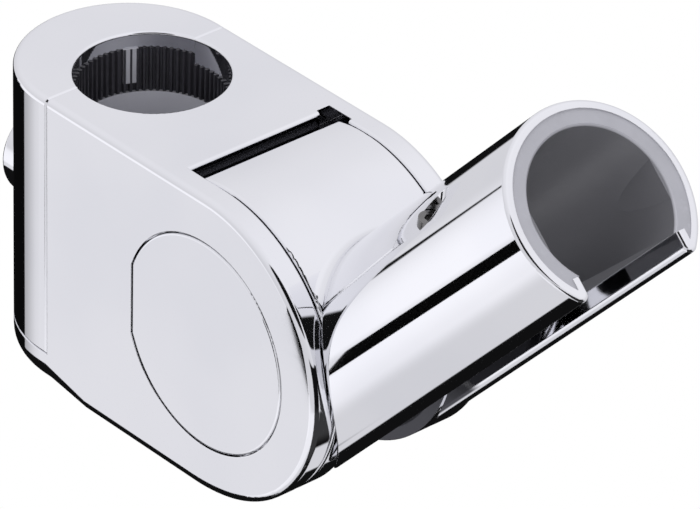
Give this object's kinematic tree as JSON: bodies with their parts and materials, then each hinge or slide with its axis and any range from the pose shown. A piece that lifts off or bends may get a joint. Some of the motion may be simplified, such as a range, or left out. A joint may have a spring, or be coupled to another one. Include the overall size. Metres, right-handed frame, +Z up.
{
  "type": "hand shower holder",
  "caption": "Tilting hand shower holder for a round wall rail, with an open-sided cup, side buttons and a clamp knob.",
  "frame": {"origin": "on the rail's axis, half-way up the holder", "axes": "+Z up along the rail, +X from the rail towards the cup, +Y to the left of somebody who looks along +X"},
  "size_m": [0.1462, 0.0384, 0.0919],
  "materials": {
    "chrome_plating": "polished",
    "steel": "plain",
    "dark_plastic": "moulded",
    "grey_plastic": "moulded",
    "bearing_plastic": "moulded"
  },
  "bodies": {
    "holder": {"front_housing": "chrome_plating", "rear_clamp_shell": "chrome_plating", "housing_screws": "steel", "rail_sleeve_front": "dark_plastic", "rail_sleeve_rear": "dark_plastic", "sleeve_key": "grey_plastic", "pivot_bushes": "bearing_plastic", "button_spring_near": "steel", "button_spring_far": "steel"},
    "tilting_cup": {"tilt_drum": "chrome_plating", "cup_shell": "chrome_plating", "cup_liner": "grey_plastic", "cup_screws": "steel", "friction_washers": "bearing_plastic"},
    "near_button": {"button_near": "chrome_plating"},
    "far_button": {"button_far": "chrome_plating"},
    "knob": {"clamp_knob": "chrome_plating", "clamp_spindle": "steel", "spindle_clip": "steel"},
    "shoe": {"brake_shoe": "dark_plastic"}
  },
  "joints": [
    {"name": "cup_tilt", "type": "hinge", "parent": "holder", "child": "tilting_cup", "pos_m": [0.0361, 0, 0], "axis": [0, 1, 0], "range_deg": [-4, 40]},
    {"name": "near_button_press", "type": "slide", "parent": "holder", "child": "near_button", "axis": [0, 1, 0], "range_m": [0, 0.0012], "stiffness_N_per_m": 1200, "springref_m": -0.003, "deforming": ["button_spring_near"]},
    {"name": "far_button_press", "type": "slide", "parent": "holder", "child": "far_button", "axis": [0, -1, 0], "range_m": [0, 0.0012], "stiffness_N_per_m": 1200, "springref_m": -0.003, "deforming": ["button_spring_far"]},
    {"name": "knob_turn", "type": "hinge", "parent": "holder", "child": "knob", "pos_m": [-0.0227, 0, 0], "axis": [1, 0, 0], "range_deg": [0, 210]},
    {"name": "shoe_slide", "type": "slide", "parent": "holder", "child": "shoe", "axis": [1, 0, 0], "range_m": [0, 0.0006]}
  ],
  "couplings": [
    {"joint": "shoe_slide", "follows": "knob_turn", "m_per_rad": 0.00015915}
  ]
}
